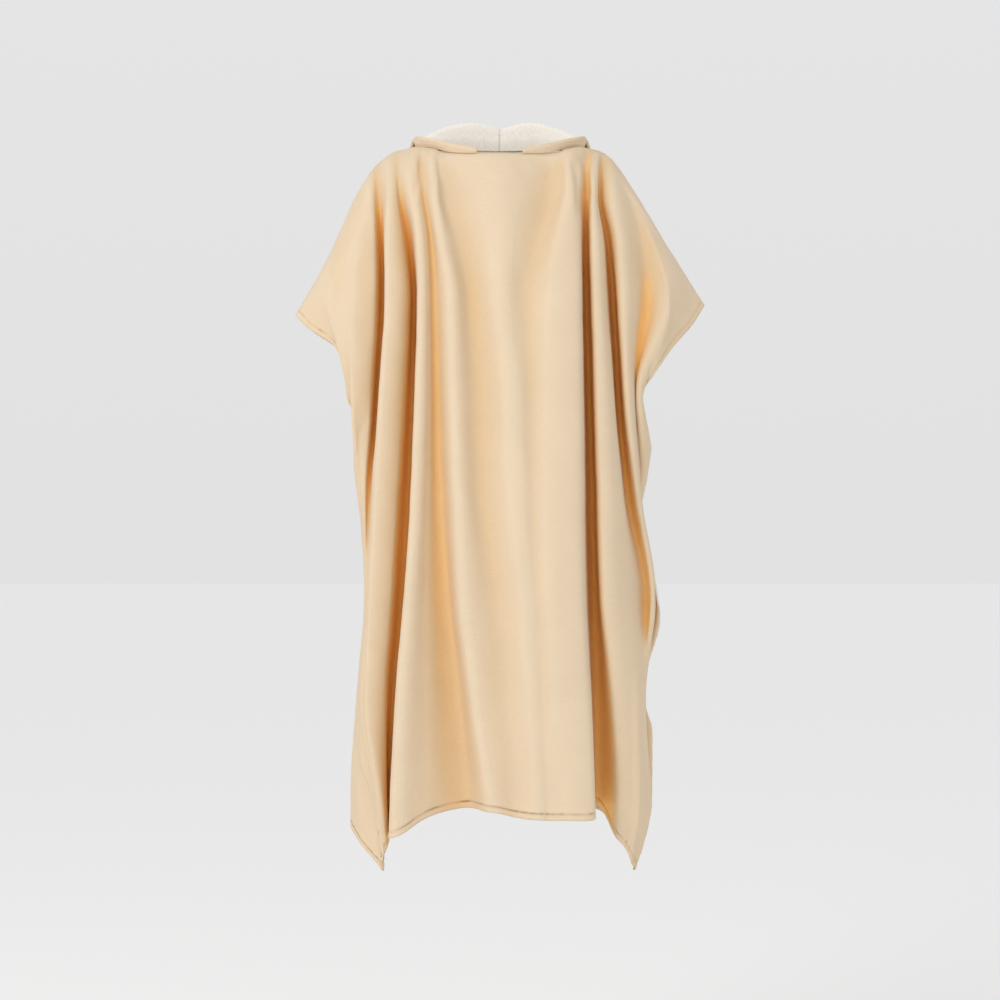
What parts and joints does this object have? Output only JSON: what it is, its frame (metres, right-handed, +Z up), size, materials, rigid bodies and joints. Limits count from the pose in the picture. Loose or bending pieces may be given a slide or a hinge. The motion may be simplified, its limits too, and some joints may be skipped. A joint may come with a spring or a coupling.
{
  "type": "hooded bath poncho",
  "caption": "Hooded towelling bath poncho, worn shape with no wearer: front and back panels open at neck, armholes and hem, hood worn down.",
  "frame": {"origin": "middle of the shoulder line, where the wearer's shoulders carry the garment (mount 'shoulders')", "axes": "+Z up, from the hem to the shoulders; +Y towards the back; +X across, from the wearer's right sleeve to the left sleeve"},
  "size_m": [0.6178, 0.3344, 1.1285],
  "materials": {
    "peach_weave": "flat-woven peach cotton face, off-white terry pile inside",
    "cream_terry": "off-white cotton terry pile inside, flat-woven peach cotton face outside"
  },
  "bodies": {
    "root": {"front_panel": "peach_weave", "back_panel": "peach_weave", "hood_left": "cream_terry", "hood_right": "cream_terry"}
  },
  "joints": []
}
